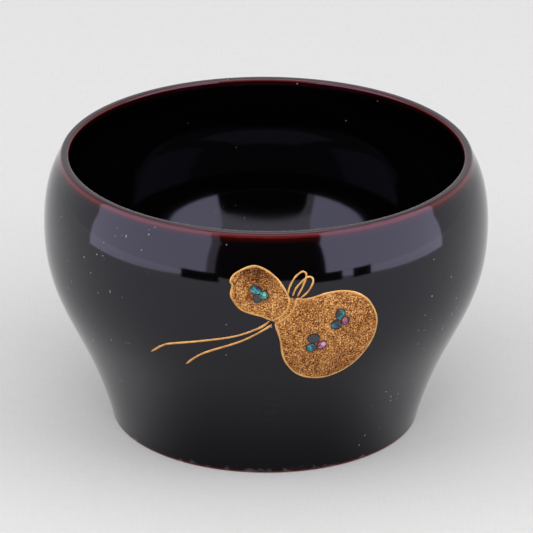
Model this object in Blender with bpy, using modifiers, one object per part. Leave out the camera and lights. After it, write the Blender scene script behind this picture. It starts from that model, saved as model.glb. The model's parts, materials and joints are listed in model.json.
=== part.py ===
"""Lacquered sweets bowl with a gourd in gold and shell on its wall.

Metres, +Z up. The origin is the middle of the foot, on the surface the bowl stands on.
The front of the bowl, with the gourd, faces -Y.

The bowl is one turned wood core under three lacquer coats: outside, inside and underneath.
The gourd lies on the outer coat as thin pieces that follow the wall: fields of gold powder,
raised gold lines, and small ovals of shell.
"""
import math

import bmesh
import bpy
from mathutils import Vector
from mathutils.geometry import interpolate_bezier

MM = 0.001

# Turned body, driving sizes
FOOT_RADIUS = 64.5 * MM          # where the wall meets the surface it stands on
BELLY_RADIUS = 93.0 * MM         # widest place
BELLY_HEIGHT = 86.0 * MM         # of the widest place above the foot
SHOULDER_HEIGHT = 31.3 * MM      # from the widest place up to the top of the lip
MOUTH_RADIUS = 82.4 * MM         # inside of the lip
LIP_THICKNESS = 4.2 * MM         # where the wall runs into the lip
LIP_DEPTH = 2.3 * MM             # height of the lip, from where the wall runs into it
WALL = 3.7 * MM                  # wood and lacquer together, at the belly
LOW_WALL = 5.6 * MM              # the same where the inside turns to the floor
FLOOR_THICKNESS = 7.0 * MM       # between the inside and the recess under the foot
RECESS_DEPTH = 2.5 * MM
FOOT_RING_WIDTH = 6.0 * MM
LIP_ROUND = 1.1 * MM             # on both edges of the lip
FOOT_ROUND = 0.9 * MM            # on the foot's outer edge
RECESS_ROUND = 1.5 * MM

# Handles of the wall's curves: how long each curve keeps its end direction
FOOT_LEAN = math.radians(14.3)   # outward lean of the wall at the foot
FOOT_PULL = 46.0 * MM
BELLY_PULL_DOWN = 34.0 * MM
BELLY_PULL_UP = 17.5 * MM
LIP_LEAN = math.radians(25.0)    # inward lean of the outer wall at the lip
LIP_PULL = 6.0 * MM
INNER_LEAN = math.radians(15.0)  # the same on the inside
FLOOR_CURVE_TOP = 48.0 * MM      # below this the inside leaves the wall and turns to the floor
FLOOR_CURVE_PULL = 20.0 * MM
FLOOR_PULL = 52.0 * MM

# Coats
COAT = 0.5 * MM
GAP = 0.3 * MM                   # between pieces that touch on the real bowl
BASE_COAT_TOP = 1.2 * MM         # how far the underneath coat comes up the wall

# Gourd, laid out on the wall from the middle of its waist
WAIST_ANGLE = math.radians(4.9)  # to the right of the front
WAIST_ABOVE_BELLY = 1.0 * MM
POWDER = 0.2 * MM                # thickness of the gold powder fields
LINE = 0.35 * MM                 # thickness of the raised gold lines
SHELL = 0.3 * MM                 # thickness of the shell chips
LINE_WIDTH = 0.85 * MM
VEIN_WIDTH = 0.5 * MM

TURN_STEPS = 40
WELD = 0.001 * MM                # closer points than this are one
CUTTER_FRONT = 1.2               # where the gourd's cutters begin and end, in belly radii
CUTTER_BACK = 0.5
OVAL_POINTS = 16

# Points are (right, up) in millimetres from the middle of the waist, along the wall
SMALL_BULB = [(1.6, 5.2), (-4.0, 13.7), (-12.0, 18.0), (-19.6, 15.4), (-22.3, 11.8), (-21.5, 9.8),
              (-21.8, 5.0), (-17.5, -0.4), (-9.7, -2.9), (-5.2, -4.9)]
LARGE_BULB = [(4.6, 4.6), (9.0, 4.0), (19.0, 6.0), (28.0, 5.0), (35.0, 0.2), (39.3, -9.0),
              (37.8, -19.0), (30.5, -29.4), (19.0, -34.5), (7.5, -32.5), (0.4, -24.5),
              (-1.9, -13.5), (-4.0, -6.5)]
UPPER_TURN = [(1.6, 5.2), (1.2, 0.8), (-1.4, -2.7), (-5.2, -4.9)]
LOWER_TURN = [(4.6, 4.6), (3.4, 0.0), (0.5, -3.5), (-4.0, -6.5)]
LEFT_LOOP = [(1.0, 6.4), (1.8, 9.6), (3.8, 13.2), (6.5, 15.4), (8.2, 15.3), (8.6, 13.4),
             (7.0, 9.2), (4.9, 5.4)]
RIGHT_LOOP = [(3.0, 5.7), (4.3, 8.8), (6.6, 11.4), (9.0, 13.2), (10.9, 13.0), (11.4, 11.0),
              (9.4, 7.4), (6.3, 4.7)]
UPPER_TAIL = [(-6.4, -5.2), (-10.4, -8.3), (-20.0, -12.5), (-33.5, -16.1), (-48.0, -20.0),
              (-53.0, -22.2), (-59.2, -26.8)]
LOWER_TAIL = [(-5.5, -6.7), (-8.4, -9.0), (-17.5, -14.6), (-30.5, -20.5), (-37.0, -24.3),
              (-42.8, -29.4)]
VEIN = [(-4.7, 3.6), (-5.2, 0.0), (-5.4, -3.4)]

# Shell chips: (right, up, length, width in millimetres, tilt in degrees), three to a group
CHIPS = [
    [(-12.1, 8.3, 4.4, 3.2, -8), (-8.8, 6.2, 3.4, 3.2, 0), (-11.3, 4.9, 3.3, 3.2, 0)],
    [(11.2, -18.3, 4.2, 3.3, 12), (15.5, -17.5, 3.7, 3.1, 30), (11.9, -14.1, 4.6, 4.0, 0)],
    [(22.8, -4.1, 4.4, 3.6, 70), (21.3, -8.6, 4.2, 3.7, 20), (25.0, -7.2, 2.6, 3.2, 0)],
]

BOWL_HEIGHT = BELLY_HEIGHT + SHOULDER_HEIGHT
LIP_FOOT = BOWL_HEIGHT - LIP_DEPTH
LIP_RADIUS = MOUTH_RADIUS + LIP_THICKNESS
FLOOR_TOP = RECESS_DEPTH + FLOOR_THICKNESS


# ---------------------------------------------------------------- profile of the turned body

def bezier(start, start_handle, end_handle, end, count):
    """Points along one curved stretch of the profile, as (radius, height)."""
    ends = [Vector((p[0], p[1], 0.0)) for p in (start, start_handle, end_handle, end)]
    return [(p.x, p.y) for p in interpolate_bezier(*ends, count)]


def rounded(corner, before, after, radius, count=3):
    """Points that round off a corner of the profile, from the side before to the side after."""
    corner = Vector(corner)
    towards_before = (Vector(before) - corner).normalized()
    towards_after = (Vector(after) - corner).normalized()
    half = towards_before.angle(towards_after) / 2
    reach = radius / math.tan(half)
    start = corner + towards_before * reach
    end = corner + towards_after * reach
    middle = corner + (towards_before + towards_after).normalized() * (radius / math.sin(half))
    swing = (end - middle).angle_signed(start - middle)
    points = []
    for i in range(count):
        turn = swing * i / (count - 1)
        arm = start - middle
        points.append((middle.x + arm.x * math.cos(turn) - arm.y * math.sin(turn),
                       middle.y + arm.x * math.sin(turn) + arm.y * math.cos(turn)))
    return points


def wall_below_belly(count):
    handle = (FOOT_RADIUS + FOOT_PULL * math.sin(FOOT_LEAN), FOOT_PULL * math.cos(FOOT_LEAN))
    return bezier((FOOT_RADIUS, 0.0), handle,
                  (BELLY_RADIUS, BELLY_HEIGHT - BELLY_PULL_DOWN), (BELLY_RADIUS, BELLY_HEIGHT), count)


def wall_above_belly(count):
    handle = (LIP_RADIUS + LIP_PULL * math.sin(LIP_LEAN), LIP_FOOT - LIP_PULL * math.cos(LIP_LEAN))
    return bezier((BELLY_RADIUS, BELLY_HEIGHT), (BELLY_RADIUS, BELLY_HEIGHT + BELLY_PULL_UP),
                  handle, (LIP_RADIUS, LIP_FOOT), count)


def inner_wall(count_above, count_wall, count_floor):
    """Down the inside: along the outer wall, thicker lower down, and then a curve to the floor."""
    inner_radius = BELLY_RADIUS - WALL
    handle = (MOUTH_RADIUS + LIP_PULL * math.sin(INNER_LEAN),
              LIP_FOOT - LIP_PULL * math.cos(INNER_LEAN))
    above = bezier((MOUTH_RADIUS, LIP_FOOT), handle,
                   (inner_radius, BELLY_HEIGHT + BELLY_PULL_UP), (inner_radius, BELLY_HEIGHT),
                   count_above)
    outer = wall_below_belly(count_wall)
    wall = []
    for thin, thick in zip(shifted(outer, WALL), shifted(outer, LOW_WALL)):
        share = (BELLY_HEIGHT - thin[1]) / (BELLY_HEIGHT - FLOOR_CURVE_TOP)
        wall.append(tuple(Vector(thin).lerp(Vector(thick), share)))
    wall = [p for p in reversed(wall) if FLOOR_CURVE_TOP < p[1] < BELLY_HEIGHT]
    start = Vector(wall[-1])
    heading = (start - Vector(wall[-2])).normalized()
    floor = bezier(start, start + heading * FLOOR_CURVE_PULL,
                   (FLOOR_PULL, FLOOR_TOP), (0.0, FLOOR_TOP), count_floor)
    return above + wall + floor[1:-1] + [(0.0, FLOOR_TOP)]


def underside():
    """From the axis out along the recess and the foot ring's flat."""
    ring_inner = FOOT_RADIUS - FOOT_RING_WIDTH
    ceiling = rounded((ring_inner, RECESS_DEPTH), (0.0, RECESS_DEPTH), (ring_inner, 0.0),
                      RECESS_ROUND)
    return [(0.0, RECESS_DEPTH)] + ceiling + [(ring_inner, 0.0)]


def section():
    """The finished bowl's section as three stretches that share their end points.

    It runs from the axis under the foot, out, up the wall, over the lip and down the inside to
    the axis again, so the wood is always on its left.
    """
    lower = wall_below_belly(10)
    upper = wall_above_belly(6)
    inside = inner_wall(6, 10, 8)

    foot_edge = rounded((FOOT_RADIUS, 0.0), (0.0, 0.0), lower[1], FOOT_ROUND)
    coat_meets = point_at_height(lower, BASE_COAT_TOP)
    base = underside() + foot_edge + [coat_meets]

    outer_corner = (LIP_RADIUS - LIP_DEPTH * math.tan(LIP_LEAN), BOWL_HEIGHT)
    inner_corner = (MOUTH_RADIUS, BOWL_HEIGHT)
    lip_middle = ((outer_corner[0] + inner_corner[0]) / 2, BOWL_HEIGHT)
    lip_outer = rounded(outer_corner, upper[-1], lip_middle, LIP_ROUND)
    outer = [coat_meets] + lower[1:] + upper[1:] + lip_outer + [lip_middle]

    lip_inner = rounded(inner_corner, lip_middle, inside[0], LIP_ROUND)
    inner = [lip_middle] + lip_inner + inside
    return base, outer, inner


def point_at_height(points, height):
    for low, high in zip(points, points[1:]):
        if low[1] <= height <= high[1]:
            share = (height - low[1]) / (high[1] - low[1])
            return (low[0] + (high[0] - low[0]) * share, height)
    raise ValueError("no point of the wall is at this height")


def shifted(points, distance, begin=None, end=None):
    """The stretch moved to its left, into the wood, by the distance.

    begin and end are the neighbours past its ends, where the surface goes on. Past the axis the
    neighbour is the mirrored one.
    """
    line = [Vector(p) for p in points]
    before = Vector(begin) if begin else line[0] * 2 - line[1]
    after = Vector(end) if end else line[-1] * 2 - line[-2]
    if line[0].x == 0.0:
        before = Vector((-line[1].x, line[1].y))
    if line[-1].x == 0.0:
        after = Vector((-line[-2].x, line[-2].y))
    line = [before] + line + [after]
    moved = []
    for previous, here, following in zip(line, line[1:], line[2:]):
        arriving = (here - previous).normalized()
        leaving = (following - here).normalized()
        along = (arriving + leaving).normalized()
        stretch = distance / max(along.dot(arriving), 0.5)
        moved.append((max(here.x - along.y * stretch, 0.0), here.y + along.x * stretch))
    return moved


def trimmed(points, at_start=0.0, at_end=0.0):
    """The stretch without a little length at either end."""
    for length, backwards in ((at_start, False), (at_end, True)):
        line = list(reversed(points)) if backwards else list(points)
        while length > 0:
            step = (Vector(line[1]) - Vector(line[0])).length
            if step > length:
                share = length / step
                line[0] = tuple(Vector(line[0]).lerp(Vector(line[1]), share))
                break
            length -= step
            line = line[1:]
        points = list(reversed(line)) if backwards else line
    return points


# ---------------------------------------------------------------- Blender helpers

def clear_scene():
    for item in list(bpy.data.objects):
        bpy.data.objects.remove(item)


def new_collection(name):
    collection = bpy.data.collections.new(name)
    bpy.context.scene.collection.children.link(collection)
    return collection


def material(name, color, roughness, metallic=0.0, coat=0.0):
    finish = bpy.data.materials.new(name)
    finish.use_nodes = True
    shader = finish.node_tree.nodes["Principled BSDF"]
    shader.inputs["Base Color"].default_value = (*color, 1.0)
    shader.inputs["Roughness"].default_value = roughness
    shader.inputs["Metallic"].default_value = metallic
    shader.inputs["Coat Weight"].default_value = coat
    finish.diffuse_color = (*color, 1.0)
    return finish


def turned(name, profile, closed, collection, finish):
    """A turned solid. Its profile runs down its outer side, top to bottom."""
    mesh = bpy.data.meshes.new(name)
    shape = bmesh.new()
    verts = [shape.verts.new((radius, 0.0, height)) for radius, height in profile]
    for low, high in zip(verts, verts[1:]):
        shape.edges.new((low, high))
    if closed:
        shape.edges.new((verts[-1], verts[0]))
    shape.to_mesh(mesh)
    shape.free()
    item = bpy.data.objects.new(name, mesh)
    collection.objects.link(item)
    screw = item.modifiers.new("Turn", "SCREW")
    screw.axis = "Z"
    screw.angle = math.tau
    screw.steps = TURN_STEPS
    screw.render_steps = TURN_STEPS
    screw.use_merge_vertices = True
    screw.merge_threshold = 10 * WELD
    screw.use_smooth_shade = True
    if finish:
        mesh.materials.append(finish)
    return item


def solid_copy(item, name, collection):
    """The object as its modifiers leave it, as a plain mesh with its loose caps welded."""
    bpy.context.view_layer.update()
    evaluated = item.evaluated_get(bpy.context.evaluated_depsgraph_get())
    mesh = bpy.data.meshes.new_from_object(evaluated)
    shape = bmesh.new()
    shape.from_mesh(mesh)
    bmesh.ops.remove_doubles(shape, verts=shape.verts, dist=WELD)
    shape.to_mesh(mesh)
    shape.free()
    copy = bpy.data.objects.new(name, mesh)
    copy.matrix_world = item.matrix_world
    collection.objects.link(copy)
    return copy


def as_cutter(item):
    item.hide_render = True
    item.display_type = "WIRE"
    return item


def boolean(item, cutter, operation):
    cut = item.modifiers.new(operation.title(), "BOOLEAN")
    cut.operation = operation
    cut.object = cutter
    cut.solver = "EXACT"
    cut.use_self = operation == "DIFFERENCE"


# ---------------------------------------------------------------- the turned pieces

def make_body(parts):
    base, outer, inner = section()
    inset = COAT + GAP

    wood = material("turned_wood", (0.36, 0.22, 0.12), 0.6)
    lacquer = material("dark_lacquer", (0.012, 0.006, 0.006), 0.08, coat=1.0)
    under_lacquer = material("base_lacquer", (0.014, 0.007, 0.007), 0.15, coat=1.0)

    whole = base + outer[1:] + inner[1:]
    core = list(reversed(shifted(whole, inset)))
    turned("wood_core", core, False, parts, wood)

    # The base coat keeps its full length and the other two stop short of their neighbours
    coat_back = shifted(base, COAT, end=outer[1])
    turned("lacquer_base_coat", coat_back + list(reversed(base)), False, parts, under_lacquer)

    face = trimmed(outer, at_start=GAP)
    back = trimmed(shifted(outer, COAT, begin=base[-2], end=inner[1]), at_start=GAP)
    loop = list(reversed(face)) + back
    turned("lacquer_outer_coat", loop, True, parts, lacquer)

    face = trimmed(inner, at_start=GAP)
    back = trimmed(shifted(inner, COAT, begin=outer[-2]), at_start=GAP)
    turned("lacquer_inner_coat", list(reversed(face)) + back, False, parts, lacquer)
    return outer


def make_layer(name, outer, thickness, guides):
    """A thin ring round the whole wall, from which the pieces of the gourd are cut."""
    wall = outer[1:-5]
    back = shifted(wall, -GAP)
    face = shifted(wall, -GAP - thickness)
    return as_cutter(turned(name, list(reversed(face)) + back, True, guides, None))


# ---------------------------------------------------------------- the gourd

def smooth(points, steps=6):
    """A smooth line through the points (Catmull-Rom)."""
    line = [Vector(p) for p in points]
    line = [line[0] * 2 - line[1]] + line + [line[-1] * 2 - line[-2]]
    path = []
    for a, b, c, d in zip(line, line[1:], line[2:], line[3:]):
        for i in range(steps):
            t = i / steps
            path.append((b * 2 + (c - a) * t + (a * 2 - b * 5 + c * 4 - d) * t ** 2
                         + (b * 3 - a - c * 3 + d) * t ** 3) / 2)
    return path + [line[-2]]


def on_front(points, outer):
    """Where points along the wall are seen from the front, as (x, z) in metres."""
    middle = BELLY_HEIGHT + WAIST_ABOVE_BELLY
    seen = []
    for right, up in points:
        height = middle + up * MM
        angle = WAIST_ANGLE + right * MM / BELLY_RADIUS
        radius = point_at_height(outer, height)[0]
        seen.append((radius * math.sin(angle), height))
    return seen


def standing_curve(name, seen, filled, guides):
    """The line drawn on an upright plane and drawn out through the bowl's front wall."""
    curve = bpy.data.curves.new(name, "CURVE")
    curve.dimensions = "2D"
    curve.fill_mode = "BOTH" if filled else "NONE"
    front = BELLY_RADIUS * CUTTER_FRONT
    behind = BELLY_RADIUS * CUTTER_BACK
    curve.extrude = (front - behind) / 2
    spline = curve.splines.new("POLY")
    spline.points.add(len(seen) - 1)
    for point, (x, z) in zip(spline.points, seen):
        point.co = (x, z, 0.0, 1.0)
    spline.use_cyclic_u = filled
    item = bpy.data.objects.new(name, curve)
    item.location = (0.0, -(front + behind) / 2, 0.0)
    item.rotation_euler = (math.radians(90.0), 0.0, 0.0)
    guides.objects.link(item)
    return item


def band(name, seen, width, guides):
    """A cutter as wide as a painted line."""
    curve = standing_curve(name + "_line", seen, False, guides)
    cutter = solid_copy(curve, name, guides)
    bpy.data.objects.remove(curve)
    skin = cutter.modifiers.new("Width", "SOLIDIFY")
    skin.thickness = width
    skin.offset = 0.0
    skin.use_even_offset = True
    return as_cutter(solid_cutter(cutter, guides))


def solid_cutter(item, guides):
    """The cutter with its modifiers applied and its faces pointing out."""
    name = item.name
    item.name = name + "_open"
    copy = solid_copy(item, name, guides)
    bpy.data.objects.remove(item)
    shape = bmesh.new()
    shape.from_mesh(copy.data)
    bmesh.ops.recalc_face_normals(shape, faces=shape.faces)
    shape.to_mesh(copy.data)
    shape.free()
    return copy


def region(name, seen, guides):
    """A cutter of the shape that the closed line goes round."""
    curve = standing_curve(name + "_line", seen, True, guides)
    cutter = solid_copy(curve, name, guides)
    bpy.data.objects.remove(curve)
    return as_cutter(solid_cutter(cutter, guides))


def oval(chip, grow=0.0):
    right, up, length, width, tilt = chip
    a = length / 2 + grow
    b = width / 2 + grow
    lean = math.radians(tilt)
    points = []
    for i in range(OVAL_POINTS):
        turn = math.tau * i / OVAL_POINTS
        x = a * math.cos(turn)
        y = b * math.sin(turn)
        points.append((right + x * math.cos(lean) - y * math.sin(lean),
                       up + x * math.sin(lean) + y * math.cos(lean)))
    return points


def inlay(name, layer, shape, clear_of, finish, parts, joined=None):
    """One piece of the gourd: the layer inside a shape, clear of the pieces named."""
    piece = bpy.data.objects.new(name, layer.data.copy())
    piece.data.name = name
    parts.objects.link(piece)
    if joined:
        union = shape.copy()
        union.data = shape.data.copy()
        union.name = name + "_shape"
        shape.users_collection[0].objects.link(union)
        boolean(union, joined, "UNION")
        shape = as_cutter(union)
    boolean(piece, shape, "INTERSECT")
    for cutter in clear_of:
        boolean(piece, cutter, "DIFFERENCE")
    piece.data.materials.clear()
    piece.data.materials.append(finish)
    return piece


def make_gourd(outer, parts, guides):
    powder = material("gold_powder", (0.50, 0.27, 0.10), 0.55, metallic=0.8)
    raised = material("raised_gold", (0.70, 0.42, 0.18), 0.40, metallic=0.9)
    shells = [material("shell_teal", (0.05, 0.42, 0.40), 0.2, coat=1.0),
              material("shell_green", (0.12, 0.55, 0.42), 0.2, coat=1.0),
              material("shell_blue", (0.08, 0.16, 0.26), 0.2, coat=1.0),
              material("shell_rose", (0.62, 0.25, 0.50), 0.2, coat=1.0)]
    chip_finish = [0, 1, 2, 0, 3, 2, 0, 2, 3]

    layers = {}
    for label, thickness in (("powder", POWDER), ("line", LINE), ("shell", SHELL)):
        ring = make_layer(label + "_ring", outer, thickness, guides)
        layers[label] = as_cutter(solid_copy(ring, label + "_layer", guides))
        bpy.data.objects.remove(ring)

    lines = {"small": SMALL_BULB, "large": LARGE_BULB, "upper": UPPER_TURN, "lower": LOWER_TURN,
             "left": LEFT_LOOP, "right": RIGHT_LOOP, "tail_1": UPPER_TAIL, "tail_2": LOWER_TAIL,
             "vein": VEIN}
    seen = {label: on_front(smooth(points), outer) for label, points in lines.items()}
    shape = {}
    clear = {}
    for label, path in seen.items():
        width = VEIN_WIDTH if label == "vein" else LINE_WIDTH
        shape[label] = band(label + "_band", path, width, guides)
        clear[label] = band(label + "_clear", path, width + 2 * GAP, guides)

    turns = [clear["upper"], clear["lower"]]
    outlines = [clear["small"], clear["large"]]
    line = layers["line"]
    inlay("waist_cord_upper", line, shape["upper"], [], raised, parts)
    inlay("waist_cord_lower", line, shape["lower"], [], raised, parts)
    inlay("small_bulb_outline", line, shape["small"], turns, raised, parts)
    inlay("large_bulb_outline", line, shape["large"], turns, raised, parts)
    inlay("cord_bow", line, shape["left"], turns + outlines, raised, parts, joined=shape["right"])
    inlay("cord_tail_upper", line, shape["tail_1"], turns + outlines, raised, parts)
    inlay("cord_tail_lower", line, shape["tail_2"], turns + outlines, raised, parts)
    inlay("gourd_vein", line, shape["vein"], turns + outlines, raised, parts)

    holes = []
    count = 0
    for group in CHIPS:
        cut_by = []
        for chip in group:
            count += 1
            name = f"shell_chip_{count}"
            exact = region(name + "_shape", on_front(oval(chip), outer), guides)
            room = region(name + "_clear", on_front(oval(chip, GAP / MM), outer), guides)
            inlay(name, layers["shell"], exact, cut_by, shells[chip_finish[count - 1]], parts)
            cut_by = cut_by + [room]
            holes.append(room)

    small = region("small_region", seen["small"] + seen["upper"][-2:0:-1], guides)
    large = region("large_region", seen["large"] + seen["lower"][-2:0:-1], guides)
    waist = region("waist_region", seen["upper"] + seen["lower"][::-1], guides)
    field = layers["powder"]
    around_small = turns + outlines + [clear["vein"]] + holes[:3]
    inlay("gourd_small_bulb", field, small, around_small, powder, parts)
    inlay("gourd_large_bulb", field, large, turns + outlines + holes[3:], powder, parts)
    inlay("gourd_waist", field, waist, turns + outlines, powder, parts)


def main():
    clear_scene()
    parts = new_collection("lacquer_bowl")
    guides = new_collection("guides_and_cutters")
    outer = make_body(parts)
    make_gourd(outer, parts, guides)


main()
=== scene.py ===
# %% [markdown]
# # A lacquered sweets bowl with a gourd in gold powder, gold line and shell
#
# The bowl is turned from wood and covered with many thin coats of lacquer. The last coats are
# nearly black over red, so that the red shows wherever they are thin: along both edges of the
# lip and round the foot. On the front wall a gourd is drawn in sprinkled gold, with a raised
# gold outline, a tied cord and small flakes of shell.
#
# The packed solid model gives every size. It is loaded first and never moved.

# %% Load the solid model
import json
import math
import random

import bmesh
import bpy
import numpy as np
from mathutils import Matrix, Vector
from mathutils.geometry import intersect_point_line

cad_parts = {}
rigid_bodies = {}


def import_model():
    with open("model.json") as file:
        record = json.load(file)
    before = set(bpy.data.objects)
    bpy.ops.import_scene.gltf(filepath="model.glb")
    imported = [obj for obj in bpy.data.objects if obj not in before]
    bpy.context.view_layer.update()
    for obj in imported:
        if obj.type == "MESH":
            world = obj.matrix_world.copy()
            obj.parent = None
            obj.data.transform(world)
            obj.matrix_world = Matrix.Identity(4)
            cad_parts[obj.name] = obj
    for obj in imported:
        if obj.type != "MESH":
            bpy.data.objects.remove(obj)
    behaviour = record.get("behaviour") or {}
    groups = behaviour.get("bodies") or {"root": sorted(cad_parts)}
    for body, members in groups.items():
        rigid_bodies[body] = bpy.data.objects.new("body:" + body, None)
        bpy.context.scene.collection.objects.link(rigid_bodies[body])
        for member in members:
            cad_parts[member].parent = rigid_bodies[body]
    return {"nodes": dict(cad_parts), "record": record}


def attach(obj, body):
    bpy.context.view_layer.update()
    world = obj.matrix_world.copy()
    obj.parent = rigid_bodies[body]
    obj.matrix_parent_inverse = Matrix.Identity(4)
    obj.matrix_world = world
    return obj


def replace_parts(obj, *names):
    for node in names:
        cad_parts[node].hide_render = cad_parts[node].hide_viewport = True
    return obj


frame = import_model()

for startup in [item for item in bpy.data.objects if item.name in ("Cube", "Light", "Camera")]:
    bpy.data.objects.remove(startup)
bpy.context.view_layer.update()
MM = 0.001
TURNED = ("lacquer_base_coat", "lacquer_outer_coat", "lacquer_inner_coat")

# %% [markdown]
# ## Shader sums as Python sums
#
# A finish is mostly arithmetic: a distance, a threshold, a blend of two colours. Wiring each
# sum by hand hides what it says, so a small class wraps a node's output and overloads the
# operators. Everything else goes through one method that adds a node.

# %% A socket that can be added, multiplied and compared
class Socket:
    """The output of a shader node. Arithmetic on it adds Math nodes."""

    def __init__(self, finish, output):
        self.finish = finish
        self.output = output

    def math(self, operation, *others):
        inputs = dict(enumerate((self,) + others))
        return self.finish.node("Math", {"operation": operation}, inputs)

    def __add__(self, other):
        return self.math("ADD", other)

    def __mul__(self, other):
        return self.math("MULTIPLY", other)

    def __sub__(self, other):
        return self.math("SUBTRACT", other)

    def __rsub__(self, other):
        return (self * -1.0) + other

    def __truediv__(self, other):
        return self.math("DIVIDE", other)

    def __pow__(self, other):
        return self.math("POWER", other)

    def at_least(self, other):
        return self.math("MAXIMUM", other)

    def step(self, low, high):
        """0 below low, 1 above high, and smooth between. High may be the lower one."""
        return self.finish.node("MapRange", {"interpolation_type": "SMOOTHSTEP"},
                                {"Value": self, "From Min": low, "From Max": high})


# %% A finish: one material and the method that adds its nodes
class Finish:
    """A procedural material on a Principled shader."""

    def __init__(self, name):
        self.material = bpy.data.materials.new(name)
        self.material.use_nodes = True
        self.tree = self.material.node_tree
        self.shader = self.tree.nodes["Principled BSDF"]

    def node(self, kind, settings=None, inputs=None, output=0):
        node = self.tree.nodes.new("ShaderNode" + kind)
        for name, value in (settings or {}).items():
            if name == "stops":
                ramp = node.color_ramp
                while len(ramp.elements) < len(value):
                    ramp.elements.new(1.0)
                for element, (position, color) in zip(ramp.elements, value):
                    element.position = position
                    element.color = (*color, 1.0)
            else:
                setattr(node, name, value)
        for name, value in (inputs or {}).items():
            self.join(value, node.inputs[name])
        return Socket(self, node.outputs[output])

    def join(self, value, socket):
        if isinstance(value, Socket):
            self.tree.links.new(value.output, socket)
        elif hasattr(value, "__len__") and len(value) == 3 and socket.type == "RGBA":
            socket.default_value = (*value, 1.0)
        else:
            socket.default_value = value

    def place(self):
        """Object coordinates, in metres."""
        return self.node("TexCoord", output="Object")

    def parts_of(self, vector):
        return [self.node("SeparateXYZ", inputs={"Vector": vector}, output=axis) for axis in "XYZ"]

    def noise(self, vector, scale, detail=3.0, roughness=0.5, distortion=0.0):
        return self.node("TexNoise", inputs={"Vector": vector, "Scale": scale, "Detail": detail,
                                             "Roughness": roughness, "Distortion": distortion},
                         output="Fac")

    def blend(self, share, first, second):
        """First where share is 0, second where it is 1."""
        # A Mix node has sockets of the same name for each type, so the colour ones go by number
        return self.node("Mix", {"data_type": "RGBA"}, {0: share, 6: first, 7: second}, output=2)

    def ramp(self, value, *stops):
        return self.node("ValToRGB", {"stops": stops}, {"Fac": value}, output="Color")

    def away_from(self, point):
        """The distance to a point of the object, in metres."""
        return self.node("VectorMath", {"operation": "DISTANCE"}, {0: self.place(), 1: point},
                         output="Value")

    def axis_distance(self):
        """The distance to the bowl's upright axis, in metres."""
        x, y, _ = self.parts_of(self.place())
        return (x * x + y * y) ** 0.5

    def cells(self, vector, scale):
        """A pattern of cells: how far from a cell's middle, and two numbers drawn per cell."""
        pattern = {"Vector": vector, "Scale": scale}
        away = self.node("TexVoronoi", inputs=pattern, output="Distance")
        drawn = self.parts_of(self.node("TexVoronoi", inputs=pattern, output="Color"))
        return away, drawn[0], drawn[1]

    def bump(self, height, distance, strength=1.0):
        return self.node("Bump", inputs={"Height": height, "Distance": distance,
                                         "Strength": strength}, output="Normal")

    def finish_as(self, **sockets):
        """Sets or links the Principled sockets. Spaces in their names are underscores here."""
        for name, value in sockets.items():
            self.join(value, self.shader.inputs[name.replace("_", " ")])
        return self.material


print("a finish can:", ", ".join(name for name in vars(Finish) if not name.startswith("_")))


# %% [markdown]
# ## The section of the bowl
#
# The solid model is turned in facets, which is right for collision and wrong for a mirror-like
# lacquer. So its section is read back from it, where it crosses the half plane y = 0, and a
# smooth line is laid through its points. The wood gives the order of the points, and the coats
# give the face that is seen.

# %% Read the section from the frame
ON_PLANE = 0.002 * MM            # nearer to the half plane than this is on it
ON_AXIS = 0.01 * MM              # nearer to the axis than this is on it


def half_plane_points(node):
    """Each (radius, height) of a turned node at y = 0, with the points its edges lead to."""
    mesh = frame["nodes"][node].data
    flat = {}
    for vertex in mesh.vertices:
        x, y, z = vertex.co
        if abs(y) < ON_PLANE and x > -ON_PLANE:
            flat[vertex.index] = (round(x, 6), round(z, 6))
    links = {}
    for edge in mesh.edges:
        a, b = (flat.get(index) for index in edge.vertices)
        if a is not None and b is not None and a != b:
            links.setdefault(a, set()).add(b)
            links.setdefault(b, set()).add(a)
    return links


def in_order(links):
    """The points of an open section, from the middle of the floor over the lip to the foot."""
    start = min((point for point in links if point[0] < ON_AXIS), key=lambda p: p[1])
    line = [start]
    while True:
        onward = [p for p in links[line[-1]]
                  if p not in line[-2:] and p[0] + line[-1][0] > ON_AXIS]
        if not onward:
            return line
        line.append(onward[0])
        if onward[0][0] < ON_AXIS:
            return line


wood_line = in_order(half_plane_points("wood_core"))
print("wood section:", len(wood_line), "points")


# %% The visible face of the coats, in the order of the wood's section
COAT_BACK = 0.55 * MM            # a coat's back is nearer to the wood than this, its face is not


def along_wood(point):
    """How far round the wood's section the point lies, and how far off the wood."""
    best = (1.0, 0.0)
    travelled = 0.0
    for start, end in zip(wood_line, wood_line[1:]):
        a = Vector((*start, 0.0))
        b = Vector((*end, 0.0))
        near, share = intersect_point_line(Vector((*point, 0.0)), a, b)
        share = min(max(share, 0.0), 1.0)
        off = (Vector((*point, 0.0)) - a.lerp(b, share)).length
        length = (b - a).length
        best = min(best, (off, travelled + share * length))
        travelled += length
    return best[1], best[0]


face = []
for coat in TURNED:
    for point in half_plane_points(coat):
        place, off = along_wood(point)
        if off > COAT_BACK:
            face.append((place, point))
face_line = [point for place, point in sorted(face)]
if face_line[-1][0] > 0.0:
    face_line.append((0.0, face_line[-1][1]))       # the flat recess under the foot
print("face of the coats:", len(face_line), "points")

# %% [markdown]
# A mirror finish shows every break in a surface, so straight lines between the points won't do.
# A cubic spline bends evenly through all of them. It is laid afresh on each side of a sharp
# corner, which here is only the inner edge of the foot ring.

# %% A smooth line through the section's points
CORNER = math.radians(60.0)
CLOSEST = 0.35 * MM              # nearer points than this count as one
SAMPLE = 1.8 * MM                # length of a step along the smooth line
LEAST_STEPS = 3                  # between two of the section's points


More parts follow.
